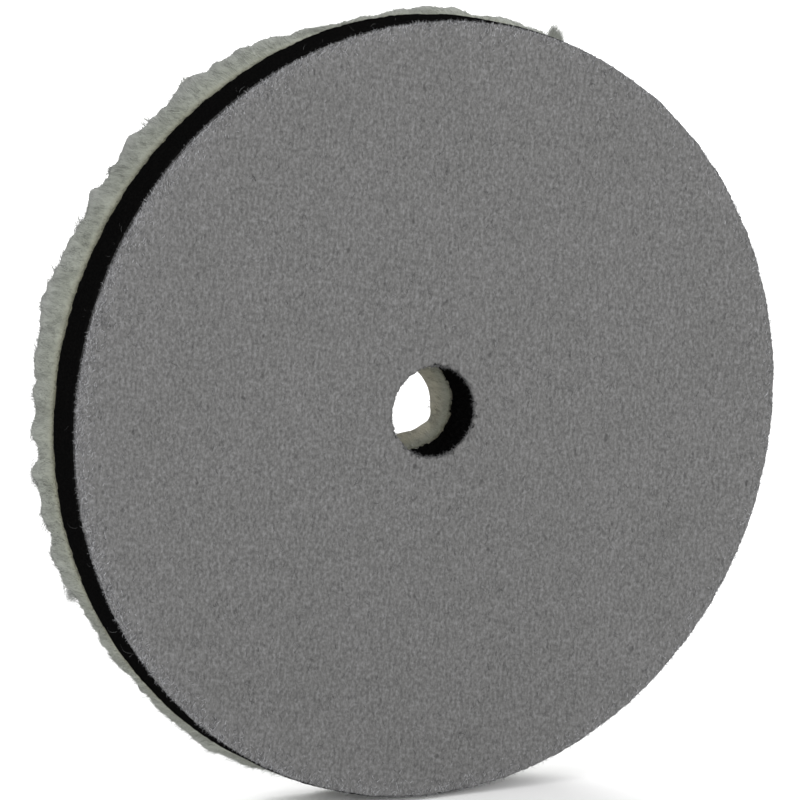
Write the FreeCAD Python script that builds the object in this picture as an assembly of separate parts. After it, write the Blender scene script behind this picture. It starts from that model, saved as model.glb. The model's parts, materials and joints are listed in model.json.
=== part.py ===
import FreeCAD, Part
import math
import os

# A wool polishing pad for a 150 mm hook-and-loop backing plate. It is a bonded laminate of rings
# with one hole through the middle: loop fabric, adhesive film, foam, adhesive film, knitted
# backing and the wool pile that is knitted into it.
#
# Millimetres, +Z up. The pad stands on its rim, and its axis lies along Y. The origin is where the
# axis meets the loop face, which looks to -Y. The other layers follow in +Y order, and the tips of
# the wool are at the far end.

# Driving dimensions
PAD_RADIUS = 76.2
HOLE_RADIUS = 9.0
LOOP_THICKNESS = 0.6
LOOP_FILM_THICKNESS = 0.15
FOAM_THICKNESS = 8.9
FOAM_OVERHANG = 0.3  # the soft foam swells this far past the cut edge of the fabrics
PILE_FILM_THICKNESS = 0.2
BACKING_THICKNESS = 1.0
PILE_HEIGHT = 10.6
PILE_SPLAY = 1.0  # the outermost tufts lean this far out past the backing's edge
PILE_RIM_ROUND = 3.5
PILE_MOUTH_ROUND = 1.2

# Where each layer begins, measured along Y from the loop face
LOOP_FILM_START = LOOP_THICKNESS
FOAM_START = LOOP_FILM_START + LOOP_FILM_THICKNESS
PILE_FILM_START = FOAM_START + FOAM_THICKNESS
BACKING_START = PILE_FILM_START + PILE_FILM_THICKNESS
PILE_START = BACKING_START + BACKING_THICKNESS
PILE_END = PILE_START + PILE_HEIGHT

CENTRE = FreeCAD.Vector(0, 0, 0)
PAD_AXIS = FreeCAD.Vector(0, 1, 0)
FULL_TURN = 360
HALF_CORNER = math.sqrt(0.5)  # sine and cosine of 45 degrees, the middle of a rounded corner


def ring(start, thickness, outer_radius):
    """A flat ring across the pad's axis, with the centre hole cut through it."""
    base = FreeCAD.Vector(0, start, 0)
    disc = Part.makeCylinder(outer_radius, thickness, base, PAD_AXIS)
    hole = Part.makeCylinder(HOLE_RADIUS, thickness, base, PAD_AXIS)
    return disc.cut(hole)


def loop_fabric():
    """The brushed loop fabric that grips the hooks of the backing plate."""
    return ring(0, LOOP_THICKNESS, PAD_RADIUS)


def loop_bond_film():
    """The adhesive film between the loop fabric and the foam."""
    return ring(LOOP_FILM_START, LOOP_FILM_THICKNESS, PAD_RADIUS)


def foam_core():
    """The foam interface that lets the wool follow a curved panel."""
    return ring(FOAM_START, FOAM_THICKNESS, PAD_RADIUS + FOAM_OVERHANG)


def pile_bond_film():
    """The adhesive film between the foam and the knitted backing."""
    return ring(PILE_FILM_START, PILE_FILM_THICKNESS, PAD_RADIUS)


def pile_backing():
    """The knitted ground cloth that holds the roots of the wool."""
    return ring(BACKING_START, BACKING_THICKNESS, PAD_RADIUS)


def outline_point(radius, depth):
    """A point of a half section: the distance from the axis, and the depth behind the loop face."""
    return FreeCAD.Vector(radius, depth, 0)


def wool_pile():
    """The wool, as the closed body that its tufts fill: it leans out, then rounds over at its rim."""
    rim_radius = PAD_RADIUS + PILE_SPLAY
    rim_centre = rim_radius - PILE_RIM_ROUND
    rim_start = PILE_END - PILE_RIM_ROUND
    rim_reach = PILE_RIM_ROUND * HALF_CORNER
    mouth_centre = HOLE_RADIUS + PILE_MOUTH_ROUND
    mouth_end = PILE_END - PILE_MOUTH_ROUND
    mouth_reach = PILE_MOUTH_ROUND * HALF_CORNER

    root_inner = outline_point(HOLE_RADIUS, PILE_START)
    root_outer = outline_point(PAD_RADIUS, PILE_START)
    rim_side = outline_point(rim_radius, rim_start)
    rim_middle = outline_point(rim_centre + rim_reach, rim_start + rim_reach)
    rim_face = outline_point(rim_centre, PILE_END)
    mouth_face = outline_point(mouth_centre, PILE_END)
    mouth_middle = outline_point(mouth_centre - mouth_reach, mouth_end + mouth_reach)
    mouth_side = outline_point(HOLE_RADIUS, mouth_end)

    edges = [
        Part.LineSegment(root_inner, root_outer).toShape(),
        Part.LineSegment(root_outer, rim_side).toShape(),
        Part.Arc(rim_side, rim_middle, rim_face).toShape(),
        Part.LineSegment(rim_face, mouth_face).toShape(),
        Part.Arc(mouth_face, mouth_middle, mouth_side).toShape(),
        Part.LineSegment(mouth_side, root_inner).toShape(),
    ]
    section = Part.Face(Part.Wire(edges))
    return section.revolve(CENTRE, PAD_AXIS, FULL_TURN)


def write(node, shape):
    """Save one sub-part, after testing that it is one closed solid."""
    if not shape.isValid() or len(shape.Solids) != 1 or not shape.Solids[0].isClosed():
        raise ValueError(node + " is not one closed solid")
    shape.Solids[0].exportStep(os.path.join("parts", node + ".step"))


os.makedirs("parts", exist_ok=True)
for sub_part in (loop_fabric, loop_bond_film, foam_core, pile_bond_film, pile_backing, wool_pile):
    write(sub_part.__name__, sub_part())
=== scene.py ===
import json
import math

import bpy
import numpy as np
from mathutils import Matrix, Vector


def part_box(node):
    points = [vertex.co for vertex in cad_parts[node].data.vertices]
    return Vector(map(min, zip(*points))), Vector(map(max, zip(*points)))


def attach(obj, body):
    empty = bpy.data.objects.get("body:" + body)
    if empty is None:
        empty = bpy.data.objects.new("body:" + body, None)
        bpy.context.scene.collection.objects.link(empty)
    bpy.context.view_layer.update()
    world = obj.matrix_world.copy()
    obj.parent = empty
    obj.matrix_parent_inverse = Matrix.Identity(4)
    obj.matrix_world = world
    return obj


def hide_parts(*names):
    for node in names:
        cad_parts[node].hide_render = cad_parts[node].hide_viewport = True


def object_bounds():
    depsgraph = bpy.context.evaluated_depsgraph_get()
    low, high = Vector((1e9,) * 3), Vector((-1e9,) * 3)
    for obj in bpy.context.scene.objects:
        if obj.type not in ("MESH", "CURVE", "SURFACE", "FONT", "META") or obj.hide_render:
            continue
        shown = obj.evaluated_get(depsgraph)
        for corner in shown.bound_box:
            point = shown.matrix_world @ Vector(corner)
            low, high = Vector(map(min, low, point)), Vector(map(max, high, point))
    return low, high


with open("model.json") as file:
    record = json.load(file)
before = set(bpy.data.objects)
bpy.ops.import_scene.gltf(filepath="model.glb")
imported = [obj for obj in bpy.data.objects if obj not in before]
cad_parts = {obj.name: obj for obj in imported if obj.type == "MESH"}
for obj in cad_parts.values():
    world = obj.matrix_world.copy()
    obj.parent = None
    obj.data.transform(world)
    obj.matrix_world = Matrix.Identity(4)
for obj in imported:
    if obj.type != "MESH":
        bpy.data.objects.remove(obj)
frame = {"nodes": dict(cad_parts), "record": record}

# A wool polishing pad standing on its rim. Its axis is Y: the loop face looks to -Y at y = 0, and
# the wool is at the far end. Metres, in the CAD frame.
cad_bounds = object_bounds()
MM = 0.001
BODY = "root"

# Sizes and places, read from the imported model
PAD_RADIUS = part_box("loop_fabric")[1].z
HOLE_MOUNT = next(mount for mount in frame["record"]["mounts"] if mount["name"] == "centre_hole")
HOLE_RADIUS = HOLE_MOUNT["dims"]["r_mm"] * MM
LOOP_FRONT, LOOP_BACK = (corner.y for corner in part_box("loop_fabric"))
FOAM_FRONT, FOAM_BACK = (corner.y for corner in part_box("foam_core"))
FOAM_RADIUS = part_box("foam_core")[1].z
KNIT_FRONT, KNIT_BACK = (corner.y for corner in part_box("pile_backing"))
PILE_ROOT, PILE_TIP = (corner.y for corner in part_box("wool_pile"))
PILE_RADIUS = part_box("wool_pile")[1].z
FLOOR_HEIGHT = cad_bounds[0].z
FULL_TURN = 2 * math.pi


# ---------------------------------------------------------------- noise and meshes

LATTICE = 64
NOISE_TABLE = np.random.default_rng(11).uniform(-1, 1, (LATTICE, LATTICE, LATTICE))


def smooth_noise(points, size, shift=0.0):
    """Smooth random values from -1 to 1. size is one feature's size, a number or one for each axis, and
    each shift gives noise of its own."""
    places = points / np.asarray(size) + shift
    cell = np.floor(places).astype(int)
    part = places - cell
    part = part * part * (3 - 2 * part)
    total = np.zeros(len(points))
    for corner in range(8):
        step = np.array([corner & 1, corner >> 1 & 1, corner >> 2 & 1])
        share = np.prod(np.where(step, part, 1 - part), axis=1)
        x, y, z = ((cell + step) % LATTICE).T
        total += share * NOISE_TABLE[x, y, z]
    return total


def build_mesh(name, points, quads, triangles=(), tones=None):
    """A smooth-shaded mesh piece. tones is one value for each point, which materials can read."""
    quads = np.asarray(quads, np.int32).reshape(-1, 4)
    triangles = np.asarray(triangles, np.int32).reshape(-1, 3)
    corners = np.concatenate([quads.ravel(), triangles.ravel()])
    starts = np.concatenate([
        np.arange(len(quads)) * 4,
        len(quads) * 4 + np.arange(len(triangles)) * 3,
    ])
    mesh = bpy.data.meshes.new(name)
    mesh.vertices.add(len(points))
    mesh.vertices.foreach_set("co", np.asarray(points, np.float32).ravel())
    mesh.loops.add(len(corners))
    mesh.loops.foreach_set("vertex_index", corners)
    mesh.polygons.add(len(starts))
    mesh.polygons.foreach_set("loop_start", starts.astype(np.int32))
    mesh.polygons.foreach_set("use_smooth", np.ones(len(starts), bool))
    if tones is not None:
        layer = mesh.attributes.new("tone", "FLOAT", "POINT")
        layer.data.foreach_set("value", np.asarray(tones, np.float32))
    mesh.update(calc_edges=True)
    mesh.validate()
    piece = bpy.data.objects.new(name, mesh)
    bpy.context.scene.collection.objects.link(piece)
    return piece


def polar(angle, radius, depth):
    """Points at these angles round the pad's axis, distances from it and depths behind the loop face.
    With distances of about 1, or 0 and a depth, they are directions."""
    return np.stack([radius * np.cos(angle), depth, radius * np.sin(angle)], axis=-1)


def revolve(name, section, turns, relief, toning=None):
    """A closed ring: section, a closed loop of (radius, depth), taken round the pad's axis. relief
    moves its points, and toning gives each of them, before that, a tone."""
    section = np.array(section)
    rows = len(section)
    angle = np.arange(turns)[:, None] * FULL_TURN / turns
    points = polar(angle, section[None, :, 0], section[None, :, 1] + 0 * angle).reshape(-1, 3)
    tones = None if toning is None else toning(points)
    points = relief(points)
    turn, row = np.meshgrid(np.arange(turns), np.arange(rows), indexing="ij")
    here = turn * rows
    after = (turn + 1) % turns * rows
    upper = (row + 1) % rows
    quads = np.stack([here + row, here + upper, after + upper, after + row], axis=-1)
    return build_mesh(name, points, quads.reshape(-1, 4), tones=tones)


def line(start, end, steps):
    """steps points from start, and short of end."""
    shares = np.arange(steps)[:, None] / steps
    return list(np.array(start) * (1 - shares) + np.array(end) * shares)


def fibres(name, roots, directions, lengths, widths, curls, rng, tones, knots=4, pulls=0.0, root_tone=1.0):
    """Closed three-sided hairs, in this many straight stretches. Each leaves its root in its direction,
    with a wave as wide as its curl, and is drawn aside by its pull, which grows towards the tip. Each
    has a tone, multiplied by root_tone at its root."""
    count = len(roots)
    axis = directions / np.linalg.norm(directions, axis=1, keepdims=True)
    helper = np.where(np.abs(axis[:, 1:2]) > 0.7, [[1.0, 0.0, 0.0]], [[0.0, 1.0, 0.0]])
    side = np.cross(axis, helper)
    side /= np.linalg.norm(side, axis=1, keepdims=True)
    other = np.cross(axis, side)
    phase = rng.uniform(0, FULL_TURN, (count, 1))
    waves = rng.uniform(0.5, 1.3, (count, 1))
    rings = []
    for knot in range(knots + 1):
        share = knot / knots
        swing = curls[:, None] * share
        turn = phase + waves * FULL_TURN * share
        centre = roots + axis * lengths[:, None] * share + pulls * share ** 2
        centre = centre + (side * np.cos(turn) + other * np.sin(turn)) * swing
        if knot == knots:
            rings.append(centre[:, None, :])
            continue
        width = widths * (1 - share) ** 0.5
        for corner in range(3):
            spoke = FULL_TURN * corner / 3
            offset = side * math.cos(spoke) + other * math.sin(spoke)
            rings.append((centre + offset * width[:, None])[:, None, :])
    points = np.concatenate(rings, axis=1)
    each = points.shape[1]
    base = np.arange(count)[:, None] * each
    walls = [
        [3 * k + c, 3 * k + (c + 1) % 3, 3 * k + 3 + (c + 1) % 3, 3 * k + 3 + c]
        for k in range(knots - 1)
        for c in range(3)
    ]
    last = 3 * (knots - 1)
    ends = [[last + c, last + (c + 1) % 3, each - 1] for c in range(3)] + [[0, 2, 1]]
    quads = (base[:, :, None] + np.array(walls)[None]).reshape(-1, 4)
    triangles = (base[:, :, None] + np.array(ends)[None]).reshape(-1, 3)
    shares = np.append(np.repeat(np.arange(knots), 3) / knots, 1)
    tones = (tones[:, None] * (root_tone + (1 - root_tone) * shares)).ravel()
    return build_mesh(name, points.reshape(-1, 3), quads, triangles, tones)


# ---------------------------------------------------------------- materials

WHITE = (1, 1, 1)
BLACK = (0, 0, 0)


def add(tree, kind, **inputs):
    """A shader node with these socket values."""
    node = tree.nodes.new(kind)
    for label, value in inputs.items():
        node.inputs[label.replace("_", " ")].default_value = value
    return node


def new_material(name, roughness, **inputs):
    """A material with one Principled shader. Returns (material, tree, shader)."""
    material = bpy.data.materials.new(name)
    material.use_nodes = True
    tree = material.node_tree
    shader = tree.nodes["Principled BSDF"]
    shader.inputs["Roughness"].default_value = roughness
    for label, value in inputs.items():
        shader.inputs[label.replace("_", " ")].default_value = value
    return material, tree, shader


def scaled_place(tree, scale=(1, 1, 1), rotation=(0, 0, 0)):
    """The object's own coordinates, turned, then stretched."""
    place = tree.nodes.new("ShaderNodeTexCoord")
    mapping = add(tree, "ShaderNodeMapping", Scale=scale, Rotation=rotation)
    tree.links.new(place.outputs["Object"], mapping.inputs["Vector"])
    return mapping.outputs["Vector"]


def noise_value(tree, place, scale, detail=2.0, roughness=0.5):
    """Smooth noise from 0 to 1 at this place. scale is its features to a metre."""
    node = add(tree, "ShaderNodeTexNoise", Scale=scale, Detail=detail, Roughness=roughness)
    tree.links.new(place, node.inputs["Vector"])
    return node.outputs["Fac"]


def ramp(tree, value, stops):
    """stops is a list of (position, colour)."""
    node = tree.nodes.new("ShaderNodeValToRGB")
    band = node.color_ramp
    while len(band.elements) < len(stops):
        band.elements.new(0.5)
    for element, (position, colour) in zip(band.elements, stops):
        element.position = position
        element.color = (*colour, 1)
    tree.links.new(value, node.inputs["Fac"])
    return node.outputs["Color"]


def blend_colours(tree, first, second, share, mode="MIX"):
    """share is a number or a socket, and so is each colour."""
    node = tree.nodes.new("ShaderNodeMix")
    node.data_type = "RGBA"
    node.blend_type = mode
    for label, value in (("Factor", share), ("A", first), ("B", second)):
        socket = next(s for s in node.inputs if s.name == label and s.enabled)
        if isinstance(value, bpy.types.NodeSocket):
            tree.links.new(value, socket)
        else:
            socket.default_value = value
    return next(s for s in node.outputs if s.enabled)


def multiply_colours(tree, first, second):
    """The product of two colours."""
    return blend_colours(tree, first, second, 1.0, "MULTIPLY")


def bump(tree, shader, height, strength, distance):
    """Shades the surface as if it stood up to this distance higher where height is 1."""
    node = add(tree, "ShaderNodeBump", Strength=strength, Distance=distance)
    tree.links.new(height, node.inputs["Height"])
    tree.links.new(node.outputs["Normal"], shader.inputs["Normal"])


def share_between(tree, value, start, end):
    """The value's place between the two: 0 at start or before it, and 1 at end or beyond."""
    node = add(tree, "ShaderNodeMapRange", From_Min=start, From_Max=end)
    tree.links.new(value, node.inputs["Value"])
    return node.outputs["Result"]


def depth_share(tree, start, end):
    """0 at the first depth behind the loop face, and 1 at the second."""
    split = tree.nodes.new("ShaderNodeSeparateXYZ")
    tree.links.new(scaled_place(tree), split.inputs["Vector"])
    return share_between(tree, split.outputs["Y"], start, end)


def mesh_tone(tree):
    """The tone that build_mesh gave to each point."""
    node = tree.nodes.new("ShaderNodeAttribute")
    node.attribute_name = "tone"
    return node.outputs["Fac"]


def loop_material():
    """Brushed grey loops: short strokes of nap that lean both ways, pits between them, pale frost: the
    frayed rim's own colour, with painted highlight on the left.
    """
    material, tree, shader = new_material("grey_loop_nap", 0.95, Specular_IOR_Level=0.05)
    left_lean = scaled_place(tree, (1.0, 1.0, 0.74), (0, math.radians(-10), 0))
    strokes = noise_value(tree, left_lean, 1750, roughness=0.65)
    right_lean = scaled_place(tree, (1.0, 1.0, 0.3), (0, math.radians(14), 0))
    crossing = noise_value(tree, right_lean, 1300)
    nap = tree.nodes.new("ShaderNodeMath")
    nap.operation = "MULTIPLY_ADD"
    crossing_share = 0.4
    nap.inputs[1].default_value = crossing_share
    tree.links.new(crossing, nap.inputs[0])
    tree.links.new(strokes, nap.inputs[2])
    height = nap.outputs[0]
    greys = [(0.46, (0.122, 0.122, 0.122)), (0.7, (0.199, 0.197, 0.195)), (0.94, (0.294, 0.294, 0.296))]
    colour = ramp(tree, height, greys)
    clouds = noise_value(tree, scaled_place(tree), 90, detail=3.0)
    shade = ramp(tree, clouds, [(0.25, (0.96, 0.962, 0.957)), (0.75, (1.04, 1.037, 1.04))])
    colour = multiply_colours(tree, colour, shade)
    pits = noise_value(tree, scaled_place(tree, (1, 1, 0.7)), 620, detail=1.0)
    pit_shade = ramp(tree, pits, [(0.22, (0.6, 0.6, 0.6)), (0.33, WHITE)])
    colour = multiply_colours(tree, colour, pit_shade)
    # Frost: near the rim, the frayed fibres' own paler colour; on the left, painted highlight where the
    # light from the left catches the rim.
    frost_and_painted_highlight = ramp(tree, mesh_tone(tree), [(0.0, (0.5, 0.5, 0.5)), (1.0, (0.615, 0.617, 0.626))])
    colour = multiply_colours(tree, colour, frost_and_painted_highlight)
    tree.links.new(colour, shader.inputs["Base Color"])
    bump(tree, shader, height, strength=0.4, distance=0.2 * MM)
    return material


def filament_material(name, dark, pale):
    """Single filaments of the loops, from dark to pale by each one's own tone."""
    material, tree, shader = new_material(name, 0.85, Specular_IOR_Level=0.1)
    colour = ramp(tree, mesh_tone(tree), [(0.0, dark), (1.0, pale)])
    fine = noise_value(tree, scaled_place(tree), 3000)
    shade = ramp(tree, fine, [(0.3, (0.9, 0.9, 0.9)), (0.7, (1.08, 1.08, 1.08))])
    tree.links.new(multiply_colours(tree, colour, shade), shader.inputs["Base Color"])
    return material


def foam_material():
    """Cut black foam: tiny cells, matt, with slightly paler walls between them."""
    material, tree, shader = new_material("black_foam", 0.95, Specular_IOR_Level=0.0)
    cells = add(tree, "ShaderNodeTexVoronoi", Scale=2600.0)
    tree.links.new(scaled_place(tree), cells.inputs["Vector"])
    blacks = [(0.1, (0.0012, 0.0012, 0.0013)), (0.75, (0.0036, 0.0035, 0.0034))]
    tree.links.new(ramp(tree, cells.outputs["Distance"], blacks), shader.inputs["Base Color"])
    bump(tree, shader, cells.outputs["Distance"], strength=0.6, distance=0.12 * MM)
    return material


def knit_material():
    """The knitted ground cloth, yellowed by the glue that soaks into it."""
    finish = {"Specular_IOR_Level": 0.2, "Sheen_Weight": 0.1}
    material, tree, shader = new_material("glued_knit", 0.9, **finish)
    stitches = add(tree, "ShaderNodeTexVoronoi", Scale=900.0)
    tree.links.new(scaled_place(tree, (1, 1.6, 1)), stitches.inputs["Vector"])
    yellows = [(0.0, (0.195, 0.193, 0.135)), (0.8, (0.113, 0.112, 0.076))]
    tree.links.new(ramp(tree, stitches.outputs["Distance"], yellows), shader.inputs["Base Color"])
    bump(tree, shader, stitches.outputs["Distance"], strength=0.6, distance=0.3 * MM)
    return material


def film_material(name, pale, dark, roughness):
    """A thin layer of set adhesive, with the small flow marks of the roller that spread it."""
    material, tree, shader = new_material(name, roughness, Specular_IOR_Level=0.3)
    marks = noise_value(tree, scaled_place(tree), 700, detail=3.0)
    tree.links.new(ramp(tree, marks, [(0.35, dark), (0.65, pale)]), shader.inputs["Base Color"])
    bump(tree, shader, marks, strength=0.3, distance=0.1 * MM)
    return material


def hole_shading(tree, colour, share):
    """The wool's colour as it changes in the hole: browner between the roots and the tips, and darker at
    the lower left, where painted shade stands in for the shadow there. share is the place between the
    roots and the tips."""
    from_axis = tree.nodes.new("ShaderNodeVectorMath")
    from_axis.operation = "LENGTH"
    tree.links.new(scaled_place(tree, (1, 0, 1)), from_axis.inputs[0])
    beyond = share_between(tree, from_axis.outputs["Value"], HOLE_RADIUS, HOLE_RADIUS + 1.5 * MM)
    tint = ramp(tree, beyond, [(0.0, (1.19, 1.1, 0.98)), (1.0, WHITE)])
    in_wall = ramp(tree, share, [(0.05, BLACK), (0.45, WHITE), (0.7, WHITE), (0.88, BLACK)])
    colour = blend_colours(tree, colour, tint, in_wall, "MULTIPLY")

    # Painted shade: the lower left of the hole is darkened, standing in for the shadow that falls there.
    lower_left = math.radians(240)
    towards = tree.nodes.new("ShaderNodeVectorMath")
    towards.operation = "DOT_PRODUCT"
    towards.inputs[1].default_value = (math.cos(lower_left), 0, math.sin(lower_left))
    tree.links.new(scaled_place(tree), towards.inputs[0])
    side = share_between(tree, towards.outputs["Value"], 0.3 * HOLE_RADIUS, HOLE_RADIUS)
    painted_lower_left_shade = ramp(tree, side, [(0.0, WHITE), (0.6, (0.6, 0.6, 0.59)), (1.0, (0.45, 0.45, 0.43))])
    painted_shade_near_hole = ramp(tree, beyond, [(0.4, WHITE), (1.0, BLACK)])
    return blend_colours(tree, colour, painted_lower_left_shade, painted_shade_near_hole, "MULTIPLY")


def wool_colours(tree, strength):
    """Yellowish at the roots, then pale grey-green, a little darker at 0.82 of the way to the tips as
    painted shade in the gaps between the locks, and paler at the tips, apart from in the hole.
    """
    share = depth_share(tree, PILE_ROOT, PILE_TIP)
    # Painted shade: the stop at 0.82 is darker, for the gaps between the locks of the polishing face.
    stops = [(0.0, (0.225, 0.226, 0.179)), (0.16, (0.259, 0.27, 0.234)), (0.55, (0.266, 0.277, 0.254)),
             (0.82, (0.252, 0.257, 0.248)), (1.0, (0.325, 0.333, 0.312))]
    stops = [(position, [part * strength for part in colour]) for position, colour in stops]
    colour = ramp(tree, share, stops)
    clouds = noise_value(tree, scaled_place(tree, (1, 0.4, 1)), 240, detail=3.0)
    shade = ramp(tree, clouds, [(0.28, (0.9, 0.905, 0.89)), (0.72, (1.06, 1.06, 1.07))])
    return hole_shading(tree, multiply_colours(tree, colour, shade), share)


def wool_strand_material():
    """Single wool fibres, each with a tone of its own."""
    finish = {"Specular_IOR_Level": 0.15, "Sheen_Weight": 0.15, "Sheen_Roughness": 0.5}
    material, tree, shader = new_material("wool_fibres", 0.85, **finish)
    tones = [(0.0, (0.43, 0.42, 0.425)), (0.06, (0.76, 0.76, 0.75)), (1.0, (1.3, 1.3, 1.31))]
    colour = multiply_colours(tree, wool_colours(tree, 1.05), ramp(tree, mesh_tone(tree), tones))
    tree.links.new(colour, shader.inputs["Base Color"])
    return material


def wool_body_material():
    """The dense wool under the loose fibres, with fine strands along the pile and painted shade in the
    creases.
    """
    material, tree, shader = new_material("wool_depth", 0.95, Specular_IOR_Level=0.05)
    strands = noise_value(tree, scaled_place(tree, (1, 0.14, 1)), 2400, detail=3.0, roughness=0.6)
    shade = ramp(tree, strands, [(0.3, (0.88, 0.88, 0.87)), (0.7, (1.08, 1.08, 1.08))])
    colour = multiply_colours(tree, wool_colours(tree, 1.0), shade)
    # Painted shade: the creases between the locks are darkened by each point's tone.
    crease_painted_shade = ramp(tree, mesh_tone(tree), [(0.0, (0.55, 0.55, 0.54)), (0.6, WHITE)])
    tree.links.new(multiply_colours(tree, colour, crease_painted_shade), shader.inputs["Base Color"])
    bump(tree, shader, strands, strength=0.7, distance=0.3 * MM)
    return material


# ---------------------------------------------------------------- the loop fabric

# Where an edge stands out (+) or in (-): angle from +X towards +Z and half width, both in degrees, and
# how far in millimetres. The disc of loop fabric was cut a little small on the left and the top.
FABRIC_SWELLS = ((135, 80, -0.32),)
FOAM_SWELLS = ((98, 18, 0.3), (40, 32, -0.4))
PILE_SWELLS = (
    (67, 5, 2.6), (82, 3, 2.4), (97, 7, -2.9), (104, 2, -1.2), (114, 5, 2.3),
    (124, 4, 3.8), (135, 5, 2.7), (146, 2, 2.2), (151, 3, 0.7), (160, 6, 3.3),
    (171, 3, 0.7), (177, 4, -1.3), (180, 2, 1.6), (183.5, 2, -1.6), (186.6, 1.2, 2.6),
    (192, 2, 1.0), (202, 5, 0.9), (211, 4, -2.2), (221, 6, -3.0), (240, 9, 2.9),
)
# How far the tips of the wool lean into the hole, in the same terms
MOUTH_LEANS = ((40, 45, 2.2), (105, 40, 1.2), (200, 60, 1.4), (285, 22, 2.0), (330, 12, -1.4))


def swells(angle, rows):
    """The sum of these rounded rises at each angle, in metres."""
    total = np.zeros_like(angle)
    for centre, width, height in rows:
        away = (np.degrees(angle) - centre + 180) % 360 - 180
        total += height * np.exp(-(away / width) ** 2)
    return total * MM


def turn_of(points):
    """The angle of each point round the axis, from +X towards +Z."""
    return np.arctan2(points[:, 2], points[:, 0])


def across_face(points):
    """How far each point is from the axis, and the unit vector out to it."""
    radius = np.hypot(points[:, 0], points[:, 2])
    outward = np.stack([points[:, 0] / radius, 0 * radius, points[:, 2] / radius], axis=1)
    return radius, outward


def at_edge(radius, outer_radius):
    """True for what lies within a millimetre of the outer edge or of the hole's edge."""
    return (radius > outer_radius - MM) | (radius < HOLE_RADIUS + MM)


def ring_cut(inner, outer, front, back, face_rows, edge_rows, rounding):
    """The section of a flat ring with its corners cut off. The front has face_rows points, and each
    wall has edge_rows."""
    return (
        line((inner + rounding, front), (outer - rounding, front), face_rows)
        + line((outer - rounding, front), (outer, front + rounding), 2)
        + line((outer, front + rounding), (outer, back - rounding), edge_rows)
        + line((outer, back - rounding), (outer - rounding, back), 2)
        + line((outer - rounding, back), (inner + rounding, back), 4)
        + line((inner + rounding, back), (inner, back - rounding), 2)
        + line((inner, back - rounding), (inner, front + rounding), edge_rows)
        + line((inner, front + rounding), (inner + rounding, front), 2)
    )


def loop_fabric():
    """The laminated loop fabric: a soft nap in front, and cut edges that fray a little."""
    section = ring_cut(HOLE_RADIUS, PAD_RADIUS, LOOP_FRONT, LOOP_BACK, face_rows=110, edge_rows=2,
                       rounding=0.15 * MM)

    def relief(points):
        radius, outward = across_face(points)
        front = points[:, 1] < LOOP_FRONT + 0.2 * MM
        nap = smooth_noise(points, (0.9 * MM, MM, 1.6 * MM))
        ripples = smooth_noise(points, 14 * MM, 5.3)
        points[:, 1] -= front * (0.07 * nap + 0.05 * ripples) * MM
        fray = smooth_noise(points, 0.8 * MM, 17.1) + smooth_noise(points, 3 * MM, 29.7)
        cut = (radius > PAD_RADIUS - MM) * swells(turn_of(points), FABRIC_SWELLS)
        at_hole = radius < HOLE_RADIUS + 0.3 * MM
        bites = at_hole * np.clip(smooth_noise(points, 0.55 * MM, 77.7) - 0.1, 0, 1)
        shift = at_edge(radius, PAD_RADIUS) * fray * 0.2 * MM + bites * 1.1 * MM + cut
        return points + outward * shift[:, None]

    # Frost near the rim: the frayed fibres' own paler colour, and painted highlight that makes it paler
    # still on the left, where the light from the left catches the rim.
    def frost_and_painted_highlight(points):
        radius, _ = across_face(points)
        near_rim = np.exp(-np.clip(PAD_RADIUS - radius, 0, None) / (3.2 * MM))
        left = 0.6 - 0.4 * np.cos(turn_of(points) - math.radians(-10))
        return near_rim * left * (0.8 + 0.4 * smooth_noise(points, 3 * MM, 57.0))

    piece = revolve("loop_fabric_cloth", section, turns=768, relief=relief, toning=frost_and_painted_highlight)
    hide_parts("loop_fabric")
    finish_piece(piece, loop_material())


def lying_filaments(name, radius, angle, rise, lengths, widths, tones, rng, material):
    """Filaments that lie on the loop face and rise from it a little. Most lean from upright."""
    count = len(radius)
    roots = polar(angle, radius, np.full(count, LOOP_FRONT + 0.03 * MM))
    lean = rng.normal(-0.1, 0.62, count)
    directions = np.stack([np.sin(lean), -rise, np.cos(lean)], axis=1)
    curls = lengths * rng.uniform(0.05, 0.25, count)
    piece = fibres(name, roots, directions, lengths, widths, curls, rng, tones)
    finish_piece(piece, material)


def face_filaments(material):
    """Single filaments brushed up out of the nap over the whole loop face."""
    rng = np.random.default_rng(21)
    count = 9000
    radius = np.sqrt(rng.uniform((HOLE_RADIUS + MM) ** 2, (PAD_RADIUS - MM) ** 2, count))
    angle = rng.uniform(0, FULL_TURN, count)
    rise = rng.uniform(0.02, 0.12, count)
    lengths = rng.uniform(0.5, 1.8, count) * MM
    widths = rng.uniform(0.045, 0.08, count) * MM
    tones = rng.uniform(0, 1, count)
    lying_filaments("loop_face_filaments", radius, angle, rise, lengths, widths, tones, rng, material)


def rim_filaments(material):
    """The frosted band by the rim: pale filaments that the die pulled up, most of them on the left as a
    painted highlight of the light from the left.
    """
    rng = np.random.default_rng(23)
    count = 6200
    # Painted highlight: the pale filaments crowd to the left, where the light from the left catches the
    # rim.
    angle = rng.vonmises(math.radians(170), 0.8, count)
    inset = np.minimum(rng.exponential(1.1, count), 7) * MM
    radius = PAD_RADIUS + swells(angle, FABRIC_SWELLS) - inset
    rise = rng.uniform(0.1, 0.8, count)
    lengths = rng.uniform(0.4, 1.2, count) * MM
    widths = rng.uniform(0.04, 0.065, count) * MM
    tones = rng.uniform(0, 1, count)
    lying_filaments("loop_rim_filaments", radius, angle, rise, lengths, widths, tones, rng, material)


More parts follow.
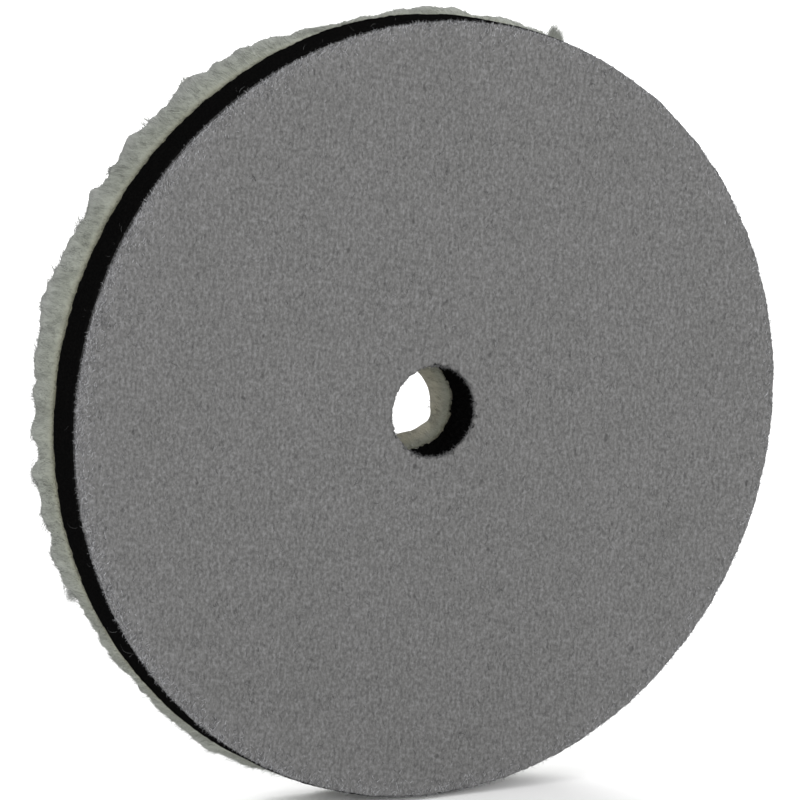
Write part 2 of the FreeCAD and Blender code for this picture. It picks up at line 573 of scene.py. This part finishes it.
def edge_fringe(name, radius, rows, outward_sign, count, width_range, seed, material):
    """Filaments that the die cut free at an edge of the loop fabric: short and untidy. outward_sign is 1
    at the rim, and -1 in the hole. width_range is in millimetres."""
    rng = np.random.default_rng(seed)
    angle = rng.uniform(0, FULL_TURN, count)
    depth = rng.uniform(LOOP_FRONT, LOOP_BACK * 0.9, count)
    roots = polar(angle, radius + swells(angle, rows) - outward_sign * 0.25 * MM, depth)
    out = polar(angle, np.full(count, float(outward_sign)), np.zeros(count))
    along = polar(angle + FULL_TURN / 4, np.ones(count), np.zeros(count))
    forward = np.zeros((count, 3))
    forward[:, 1] = rng.normal(0.0, 0.5, count)
    directions = out + along * rng.normal(0, 0.8, count)[:, None] + forward
    lengths = np.minimum(rng.exponential(0.25, count) + 0.35, 1.1) * MM
    widths = rng.uniform(*width_range, count) * MM
    tones = rng.uniform(0.1, 0.9, count)
    curls = lengths * 0.3
    piece = fibres(name, roots, directions, lengths, widths, curls, rng, tones)
    finish_piece(piece, material)


def stray_filaments(material):
    """A few long filaments from the loop fabric's edge, lying back over the foam."""
    rng = np.random.default_rng(43)
    count = 46
    angle = rng.uniform(0, FULL_TURN, count)
    roots = polar(angle, np.full(count, PAD_RADIUS - 0.1 * MM), np.full(count, LOOP_BACK * 0.6))
    out = polar(angle, rng.uniform(0.12, 0.3, count), np.zeros(count))
    along = polar(angle + FULL_TURN / 4, rng.normal(0, 0.8, count), np.zeros(count))
    back = np.zeros((count, 3))
    back[:, 1] = 1
    lengths = rng.uniform(2, 6, count) * MM
    widths = np.full(count, 0.035 * MM)
    tones = rng.uniform(0, 0.4, count)
    directions = out + along + back
    curls = lengths * 0.15
    piece = fibres("loop_edge_strays", roots, directions, lengths, widths, curls, rng, tones, knots=9)
    finish_piece(piece, material)


# ---------------------------------------------------------------- foam and knit

def foam_core():
    """The foam ring. Its die-cut walls are pitted with cells, bow in and out, and chip at the back."""
    section = ring_cut(HOLE_RADIUS, FOAM_RADIUS, FOAM_FRONT, FOAM_BACK, face_rows=4, edge_rows=24,
                       rounding=0.25 * MM)

    def relief(points):
        radius, outward = across_face(points)
        cells = smooth_noise(points, 0.6 * MM, 3.7)
        waves = smooth_noise(points, 5 * MM, 41.3)
        chips = np.clip(smooth_noise(points, 1.2 * MM, 91.1) - 0.12, 0, 1)
        near_back = points[:, 1] > FOAM_BACK - 0.6 * MM
        in_hole = radius < 2 * HOLE_RADIUS
        flecks = np.clip(smooth_noise(points, 0.55 * MM, 61.9) - 0.25, 0, 1)
        shift = 0.08 * cells + 0.12 * waves - 0.9 * chips * near_back - 0.9 * flecks * in_hole
        cut = (radius > FOAM_RADIUS - MM) * swells(turn_of(points), FOAM_SWELLS)
        return points + outward * (at_edge(radius, FOAM_RADIUS) * shift * MM + cut)[:, None]

    piece = revolve("foam_core_pad", section, turns=1200, relief=relief)
    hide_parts("foam_core")
    finish_piece(piece, foam_material())


def knit_backing():
    """The knitted ground cloth, with lumps of stitches and glue along its cut edges."""
    inner, outer = HOLE_RADIUS + 0.1 * MM, PAD_RADIUS - 0.1 * MM
    section = ring_cut(inner, outer, KNIT_FRONT, KNIT_BACK, face_rows=6, edge_rows=4, rounding=0.3 * MM)

    def relief(points):
        radius, outward = across_face(points)
        stitches = smooth_noise(points, 1.1 * MM, 23.1)
        return points + outward * (at_edge(radius, PAD_RADIUS) * 0.15 * MM * stitches)[:, None]

    piece = revolve("knit_backing_cloth", section, turns=900, relief=relief)
    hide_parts("pile_backing")
    finish_piece(piece, knit_material())


# ---------------------------------------------------------------- the wool

def rim_reach(angle):
    """How far the rim of the pile stands beyond its mean or short of it: rounded locks and pointed
    tips, with creases between."""
    ring = polar(angle, np.full_like(angle, PAD_RADIUS), np.zeros_like(angle))
    locks = np.abs(smooth_noise(ring, 6.5 * MM, 7.9)) - 0.25
    curls = np.abs(smooth_noise(ring, 3 * MM, 33.3)) - 0.25
    tips = 0.35 - np.abs(smooth_noise(ring, 5 * MM, 88.8))
    small_tips = 0.3 - np.abs(smooth_noise(ring, 2.6 * MM, 47.9))
    lumps = 1.4 * locks + 1.0 * curls + 2.3 * tips + 1.3 * small_tips
    return lumps * MM + swells(angle, PILE_SWELLS)


def mouth_lean(angle):
    """How far the tips of the wool lean into the hole."""
    ring = polar(angle, np.full_like(angle, HOLE_RADIUS), np.zeros_like(angle))
    return (0.6 + 0.5 * smooth_noise(ring, 3 * MM, 15.5)) * MM + swells(angle, MOUTH_LEANS)


def quarter_arc(centre, radius, start_degrees, end_degrees, steps):
    """Points of an arc in the half section, short of its end."""
    turn = np.radians(np.linspace(start_degrees, end_degrees, steps, endpoint=False))
    return [np.array((centre[0] + radius * math.cos(t), centre[1] + radius * math.sin(t))) for t in turn]


# The plain outline of the dense wool, before wool_relief: from the roots up the side and over the rim,
# along the polishing face, down the hole and back under the roots
WOOL_RIM = PILE_RADIUS - 0.4 * MM
WOOL_FACE = PILE_TIP - 1.0 * MM
RIM_ROUND = 3.5 * MM
MOUTH_ROUND = 2.5 * MM
WOOL_HOLE = HOLE_RADIUS + 0.1 * MM
FACE_DIP = 1.5 * MM  # the dense wool lies this much lower inside the rim, and its locks are longer there
RIM_SIDE = line((PAD_RADIUS - 0.1 * MM, PILE_ROOT), (WOOL_RIM, WOOL_FACE - RIM_ROUND), 14)
RIM_ARC = quarter_arc((WOOL_RIM - RIM_ROUND, WOOL_FACE - RIM_ROUND), RIM_ROUND, 0, 90, 10)
FACE_LINE = line((WOOL_RIM - RIM_ROUND, WOOL_FACE), (WOOL_HOLE + MOUTH_ROUND, WOOL_FACE), 84)
MOUTH_ARC = quarter_arc((WOOL_HOLE + MOUTH_ROUND, WOOL_FACE - MOUTH_ROUND), MOUTH_ROUND, 90, 180, 8)
HOLE_LINE = line((WOOL_HOLE, WOOL_FACE - MOUTH_ROUND), (WOOL_HOLE, PILE_ROOT), 16)
ROOT_LINE = line((WOOL_HOLE, PILE_ROOT), (PAD_RADIUS - 0.1 * MM, PILE_ROOT), 8)


def wool_relief(points):
    """Moves points of the plain wool outline to where the real wool is: lumpy, and in over the hole."""
    radius, outward = across_face(points)
    angle = turn_of(points)
    share = np.clip((points[:, 1] - PILE_ROOT) / (WOOL_FACE - PILE_ROOT), 0, 1)
    outer = np.clip(1 - (WOOL_RIM - radius) / (8 * MM), 0, 1)
    inner = np.clip(1 - (radius - WOOL_HOLE) / (5 * MM), 0, 1)
    tufts = np.abs(smooth_noise(points, (3.6 * MM, 12 * MM, 3.6 * MM), 13.0)) - 0.25
    fine = smooth_noise(points, (1.3 * MM, 5 * MM, 1.3 * MM), 19.0)
    reach = rim_reach(angle)
    relief = (1.9 * tufts + 0.3 * fine) * MM
    face = np.clip(1 - (WOOL_FACE - points[:, 1]) / (3 * MM), 0, 1)
    push = share * (0.5 * outer * (reach + relief) - share * inner * mouth_lean(angle))
    moved = points + outward * push[:, None]
    moved[:, 1] += share ** 2 * (0.8 * outer * reach + face * relief - FACE_DIP * (1 - outer) * face)
    return moved


def painted_crease_shade(points):
    """Painted shade: darker where two locks of the wool meet, and darker still deep between the locks of
    the polishing face.
    """
    locks = np.abs(smooth_noise(points, (3.6 * MM, 12 * MM, 3.6 * MM), 13.0))
    ring = np.abs(smooth_noise(points, (6.5 * MM, 60 * MM, 6.5 * MM), 7.9))
    creases = np.clip(0.25 + 1.6 * np.minimum(locks + 0.1, ring + 0.15), 0, 1)
    radius = np.hypot(points[:, 0], points[:, 2])
    # Painted shade: the dense wool under the locks of the polishing face is darkened.
    shade_under_locks = (points[:, 1] > WOOL_FACE - MM) & (radius > HOLE_RADIUS + 4 * MM)
    return creases * np.where(shade_under_locks, 0.45, 1)


def wool_body():
    """The dense part of the pile, under the loose fibres."""
    section = RIM_SIDE + RIM_ARC + FACE_LINE + MOUTH_ARC + HOLE_LINE + ROOT_LINE
    piece = revolve("wool_pile_body", section, turns=690, relief=wool_relief, toning=painted_crease_shade)
    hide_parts("wool_pile")
    finish_piece(piece, wool_body_material())


def along_section(section, travel):
    """Radius and depth at each distance along this stretch of section, and its direction there."""
    section = np.array(section)
    reached = np.concatenate([[0], np.cumsum(np.linalg.norm(np.diff(section, axis=0), axis=1))])
    travel = np.clip(travel, 0, reached[-1])
    here, ahead, behind = (
        np.stack([np.interp(travel + step, reached, section[:, part]) for part in (0, 1)], axis=1)
        for step in (0, 0.2 * MM, -0.2 * MM)
    )
    way = ahead - behind
    return here[:, 0], here[:, 1], way / np.linalg.norm(way, axis=1, keepdims=True)


def wool_coat(name, section, side, angle, travel, lengths, fluff, sweep, widths, material, rng):
    """Loose fibres combed along a stretch of the wool outline, each from its travel to lengths further.
    Tips stand off the wool by fluff and are swept round by sweep. Neighbours meet, which makes locks.
    side is 1 round the outside, and -1 in the hole, where the outline runs with the wool beyond it."""
    count = len(angle)
    radius, depth, way = along_section(section, travel)
    sink = side * 0.2 * MM
    roots = polar(angle, radius - way[:, 1] * sink, depth + way[:, 0] * sink)
    end_radius, end_depth, end_way = along_section(section, travel + lengths)
    lock = 3.0 * MM
    lock_number = np.floor(angle * radius / lock + 0.4 * np.sin(travel / MM * 0.9))
    gather = 0.45 * ((lock_number + 0.5) * lock - angle * radius)
    end_angle = angle + (sweep * lengths + gather) / end_radius
    tip_radius = end_radius + side * end_way[:, 1] * fluff
    tip_depth = end_depth - side * end_way[:, 0] * fluff
    roots, ends = wool_relief(roots), wool_relief(polar(end_angle, tip_radius, tip_depth))
    rise = side * 0.25
    directions = polar(angle, way[:, 0] + rise * way[:, 1], way[:, 1] - rise * way[:, 0])
    directions /= np.linalg.norm(directions, axis=1, keepdims=True)
    pulls = ends - roots - directions * lengths[:, None]
    tones = np.clip(0.5 + 0.18 * np.sin(lock_number * 2.4) + rng.normal(0, 0.12, count), 0, 1)
    curls = lengths * 0.07
    piece = fibres(name, roots, directions, lengths, widths, curls, rng, tones, pulls=pulls)
    finish_piece(piece, material)


def rim_coat(name, first_angle, last_angle, seed, material):
    """Fibres over the side and rounded rim of the pile, combed back from the knit to the tips."""
    rng = np.random.default_rng(seed)
    count = 7600
    angle = rng.uniform(first_angle, last_angle, count)
    travel = rng.uniform(-0.3, 9.0, count) * MM
    ring = polar(angle, np.full(count, PAD_RADIUS), np.zeros(count))
    sweep = 0.3 * smooth_noise(ring, 6 * MM, 61.7) + rng.normal(0, 0.12, count)
    lengths = rng.uniform(2.0, 3.6, count) * MM
    fluff = (0.1 + rng.exponential(0.25, count)) * MM
    widths = rng.uniform(0.055, 0.09, count) * MM
    section = RIM_SIDE + RIM_ARC + FACE_LINE[:12]
    wool_coat(name, section, 1, angle, travel, lengths, fluff, sweep, widths, material, rng)


def hole_coat(material):
    """Fibres in the hole, combed along it towards the tips."""
    rng = np.random.default_rng(97)
    count = 2200
    angle = rng.uniform(0, FULL_TURN, count)
    travel = rng.uniform(-0.3, 8.5, count) * MM
    lengths = rng.uniform(1.5, 2.6, count) * MM
    fluff = rng.exponential(0.08, count) * MM
    sweep = rng.normal(0, 0.1, count)
    widths = rng.uniform(0.05, 0.08, count) * MM
    section = list(reversed(FACE_LINE[-4:] + MOUTH_ARC + HOLE_LINE))
    wool_coat("wool_hole_lining", section, -1, angle, travel, lengths, fluff, sweep, widths, material, rng)


def face_tufts(name, first_angle, last_angle, seed, material):
    """Locks over the polishing face and its rounded rim. The fibres of each curl and meet at its tip."""
    rng = np.random.default_rng(seed)
    pitch = 4.0 * MM
    each = 27
    grid = np.arange(-PAD_RADIUS, PAD_RADIUS, pitch)
    x, z = np.meshgrid(grid, grid * 0.87)
    x = x + (np.arange(len(grid)) % 2 * pitch / 2)[:, None]
    middle = np.stack([x.ravel(), z.ravel()], axis=1)
    middle = middle + rng.normal(0, 0.22, middle.shape) * pitch
    radius = np.hypot(middle[:, 0], middle[:, 1])
    angle = np.arctan2(middle[:, 1], middle[:, 0]) % FULL_TURN
    kept = (radius > HOLE_RADIUS + 2.2 * MM) & (radius < PAD_RADIUS - 0.8 * MM)
    kept &= (angle >= first_angle) & (angle < last_angle)
    middle, radius = middle[kept], radius[kept]
    flat = np.stack([middle[:, 0], 0 * middle[:, 0], middle[:, 1]], axis=1)
    lean = rng.normal(0, 0.9, middle.shape) * MM
    lean += 2.4 * MM * np.stack([smooth_noise(flat, 11 * MM, shift) for shift in (71.3, 83.9)], axis=1)
    lean *= np.clip((radius - HOLE_RADIUS) / (8 * MM), 0.2, 1)[:, None]
    inside = np.clip((WOOL_RIM - radius) / (8 * MM), 0, 1)
    heights = 2.0 * MM + FACE_DIP * inside + rng.normal(0, 0.35, len(middle)) * MM
    lock_tones = rng.uniform(0.35, 0.9, len(middle))

    lock = np.repeat(np.arange(len(middle)), each)
    spread = rng.normal(0, 0.3 * pitch, (len(lock), 2))
    start = middle[lock] + spread
    distance = np.hypot(start[:, 0], start[:, 1])
    rooted = (distance > WOOL_HOLE + 1.2 * MM) & (distance < WOOL_RIM - 0.6 * MM)
    lock, spread, start, distance = lock[rooted], spread[rooted], start[rooted], distance[rooted]
    count = len(lock)
    # The face falls away in an arc at the rim, where the locks fan outwards
    tilt = np.clip((distance - (WOOL_RIM - RIM_ROUND)) / RIM_ROUND, 0, 0.85)
    upright = np.sqrt(1 - tilt ** 2)
    depth = WOOL_FACE - 0.3 * MM - RIM_ROUND * (1 - upright)
    roots = wool_relief(np.stack([start[:, 0], depth, start[:, 1]], axis=1))
    draw = lean[lock] - 0.8 * spread
    pulls = np.stack([draw[:, 0], np.zeros(count), draw[:, 1]], axis=1)
    slant = rng.normal(0, 0.16, (count, 2)) + start * (tilt / distance)[:, None]
    directions = np.stack([slant[:, 0], upright, slant[:, 1]], axis=1)
    lengths = (heights[lock] + rng.normal(0, 0.25, count) * MM) * (1 - 0.25 * tilt)
    tones = np.clip(lock_tones[lock] + rng.normal(0, 0.22, count), 0, 1)
    widths = rng.uniform(0.075, 0.13, count) * MM
    curls = rng.uniform(0.15, 0.5, count) * MM
    piece = fibres(name, roots, directions, lengths, widths, curls, rng, tones, pulls=pulls, root_tone=0.5)
    finish_piece(piece, material)


def root_fuzz(material):
    """Short fibres that stand out between the knit's stitches, at its rim and in the hole."""
    rng = np.random.default_rng(113)
    count = 4600
    inner = np.arange(count) < 600
    angle = rng.uniform(0, FULL_TURN, count)
    radius = np.where(inner, HOLE_RADIUS + 0.2 * MM, PAD_RADIUS - 0.2 * MM)
    depth = rng.uniform(KNIT_FRONT, PILE_ROOT + 0.6 * MM, count)
    out = polar(angle, np.where(inner, -0.7, 0.8), rng.normal(-0.4, 0.5, count))
    along = polar(angle + FULL_TURN / 4, rng.normal(0, 0.9, count), np.zeros(count))
    lengths = rng.uniform(0.4, 1.2, count) * MM
    widths = rng.uniform(0.035, 0.065, count) * MM
    tones = rng.uniform(0, 0.8, count)
    roots = polar(angle, radius, depth)
    curls = lengths * 0.2
    piece = fibres("wool_root_fuzz", roots, out + along, lengths, widths, curls, rng, tones, knots=3)
    finish_piece(piece, material)


def halo(material):
    """Fine single fibres that stand out round the rim of the pile and soften its outline."""
    rng = np.random.default_rng(127)
    count = 5200
    angle = rng.uniform(0, FULL_TURN, count)
    radius, depth, way = along_section(RIM_SIDE + RIM_ARC, rng.uniform(1.5, 12.5, count) * MM)
    out = polar(angle, way[:, 1] + 0.4 * way[:, 0], 0.4 * way[:, 1] - way[:, 0])
    along = polar(angle + FULL_TURN / 4, rng.normal(0, 0.6, count), np.zeros(count))
    lengths = rng.uniform(0.5, 1.5, count) * MM
    widths = rng.uniform(0.018, 0.032, count) * MM
    tones = rng.uniform(0.4, 1, count)
    roots = wool_relief(polar(angle, radius, depth))
    curls = lengths * 0.25
    piece = fibres("wool_halo", roots, out + along, lengths, widths, curls, rng, tones, knots=3)
    finish_piece(piece, material)


def stray_locks(material):
    """Locks that stand out from the side of the pile. Each has its angle in degrees, its place between
    the roots and the tips, its length, breadth and droop in millimetres, and its palest tone."""
    rng = np.random.default_rng(107)
    each = 150
    places = (
        (62.7, 0.5, 5.9, 0.8, 0.4, 0.4),
        (63.7, 0.5, 6.1, 0.8, 0.0, 0.5),
        (63.2, 0.45, 5.0, 1.1, 0.2, 0.25),
        (67, 0.75, 3.4, 1.5, 0.3, 0.5),
        (70, 0.75, 3.2, 1.7, 0.3, 0.7),
        (150, 0.9, 1.8, 1.4, 0.6, 1.0),
        (187, 0.8, 2.4, 1.6, 1.2, 1.0),
        (205, 0.75, 2.4, 1.6, 1.2, 1.0),
        (236, 0.7, 1.8, 1.4, 0.6, 1.0),
    )
    roots, directions, pulls, lengths, tones = [], [], [], [], []
    for degrees, share, length, breadth, droop, palest in places:
        angle = math.radians(degrees) + rng.normal(0, breadth, each) * MM / PAD_RADIUS
        depth = PILE_ROOT + share * (WOOL_FACE - PILE_ROOT) + rng.normal(0, breadth, each) * MM
        start = polar(angle, np.full(each, PAD_RADIUS - 0.7 * MM), depth)
        out = polar(angle, np.full(each, 0.9), np.full(each, 0.3))
        directions.append(out + rng.normal(0, 0.1, (each, 3)))
        roots.append(start)
        pulls.append(0.75 * (start.mean(axis=0) - start) + np.array([0, 0, -droop * MM]))
        lengths.append(length * rng.uniform(0.5, 1, each) * MM)
        tones.append(palest * rng.uniform(0.4, 1, each))
    roots, directions, pulls = (np.concatenate(rows) for rows in (roots, directions, pulls))
    lengths, tones = np.concatenate(lengths), np.concatenate(tones)
    count = each * len(places)
    widths = rng.uniform(0.04, 0.07, count) * MM
    curls = np.full(count, 0.35 * MM)
    piece = fibres("wool_stray_locks", roots, directions, lengths, widths, curls, rng, tones,
                   knots=6, pulls=pulls)
    finish_piece(piece, material)


# ---------------------------------------------------------------- putting it together

def finish_piece(piece, material):
    """Gives a piece its material, and lets it ride on the pad."""
    piece.data.materials.append(material)
    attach(piece, BODY)


def dress_films():
    """The two adhesive films stay as CAD made them, and get their finish here."""
    black_glue = film_material("dark_adhesive", pale=(0.02, 0.02, 0.02), dark=(0.012, 0.012, 0.012),
                               roughness=0.7)
    yellow_glue = film_material("yellow_adhesive", pale=(0.085, 0.078, 0.05), dark=(0.06, 0.055, 0.035),
                                roughness=0.65)
    finishes = {"loop_bond_film": black_glue, "pile_bond_film": yellow_glue}
    for node, material in finishes.items():
        for material_slot in frame["nodes"][node].material_slots:
            material_slot.material = material


def make_floor():
    """A wide plain floor under the pad."""
    reach = 40.0
    signs = ((-1, -1), (1, -1), (1, 1), (-1, 1))
    corners = [(x * reach, y * reach, FLOOR_HEIGHT) for x, y in signs]
    floor = build_mesh("studio_floor", corners, [[0, 1, 2, 3]])
    material, _, shader = new_material("pale_floor", 0.9, Specular_IOR_Level=0.1)
    shader.inputs["Base Color"].default_value = (0.94, 0.94, 0.94, 1)
    floor.data.materials.append(material)


def make_camera():
    """The photograph's long, level view: from the left of the loop face and a little above it."""
    azimuth, elevation = math.radians(-26.78), math.radians(10.12)
    field = math.radians(7.333)
    across, above, away = -0.0864, 0.0305, 15.9127  # in pad radii, from the loop face's centre
    right = np.array([math.cos(azimuth), math.sin(azimuth), 0])
    back = np.array([math.sin(azimuth) * math.cos(elevation), -math.cos(azimuth) * math.cos(elevation),
                     math.sin(elevation)])
    up = np.cross(back, right)
    camera = bpy.data.objects.new("camera", bpy.data.cameras.new("camera"))
    camera.data.sensor_width = 36
    camera.data.angle = field
    camera.data.clip_start, camera.data.clip_end = 0.01, 200
    place = (right * across + up * above + back * away) * PAD_RADIUS
    axes = Matrix([right, up, back]).transposed().to_4x4()
    camera.matrix_world = Matrix.Translation(place) @ axes
    bpy.context.scene.collection.objects.link(camera)
    bpy.context.scene.camera = camera


def make_area_light(name, place, size, power):
    """A round lamp that looks at the origin, and isn't seen itself."""
    lamp = bpy.data.lights.new(name, "AREA")
    lamp.shape = "DISK"
    lamp.size = size
    lamp.energy = power
    light = bpy.data.objects.new(name, lamp)
    place = np.array(place)
    forward = -place / np.linalg.norm(place)
    side = np.cross(forward, [0, 0, 1])
    side /= np.linalg.norm(side)
    axes = Matrix([side, np.cross(side, forward), -forward]).transposed().to_4x4()
    light.matrix_world = Matrix.Translation(place) @ axes
    light.visible_camera = False
    bpy.context.scene.collection.objects.link(light)


def make_light():
    """Soft studio light: an even white surround, a broad key in front and a broad lamp behind."""
    world = bpy.data.worlds.new("studio")
    world.use_nodes = True
    background = world.node_tree.nodes["Background"]
    background.inputs["Color"].default_value = (1, 1, 1, 1)
    background.inputs["Strength"].default_value = 1.0
    bpy.context.scene.world = world
    make_area_light("key", (-0.3, -2.1, 0.5), size=1.0, power=35.5)
    make_area_light("back", (1.0, 1.9, 1.2), size=1.0, power=46)
    bpy.context.scene.view_settings.view_transform = "Standard"


def build():
    """The whole scene: camera, floor and light, then the pad from its loop face to its wool."""
    make_camera()
    make_floor()
    make_light()
    loop_fabric()
    filament = filament_material("grey_loop_filament", dark=(0.07, 0.07, 0.07), pale=(0.17, 0.17, 0.172))
    pale_filament = filament_material("pale_loop_filament", dark=(0.06, 0.06, 0.062),
                                      pale=(0.41, 0.413, 0.427))
    face_filaments(filament)
    rim_filaments(pale_filament)
    edge_fringe("loop_edge_fringe", PAD_RADIUS, FABRIC_SWELLS, outward_sign=1, count=6400,
                width_range=(0.04, 0.065), seed=31, material=pale_filament)
    edge_fringe("loop_hole_fringe", HOLE_RADIUS, (), outward_sign=-1, count=1300,
                width_range=(0.03, 0.055), seed=37, material=filament)
    stray_filaments(filament)
    foam_core()
    knit_backing()
    wool_body()
    fibre = wool_strand_material()
    rim_coat("wool_rim_upper", 0, FULL_TURN / 2, seed=51, material=fibre)
    rim_coat("wool_rim_lower", FULL_TURN / 2, FULL_TURN, seed=53, material=fibre)
    for quarter in range(4):
        face_tufts(f"wool_face_{quarter + 1}", quarter * FULL_TURN / 4, (quarter + 1) * FULL_TURN / 4,
                   seed=61 + quarter, material=fibre)
    hole_coat(fibre)
    root_fuzz(fibre)
    halo(fibre)
    stray_locks(fibre)
    dress_films()


build()
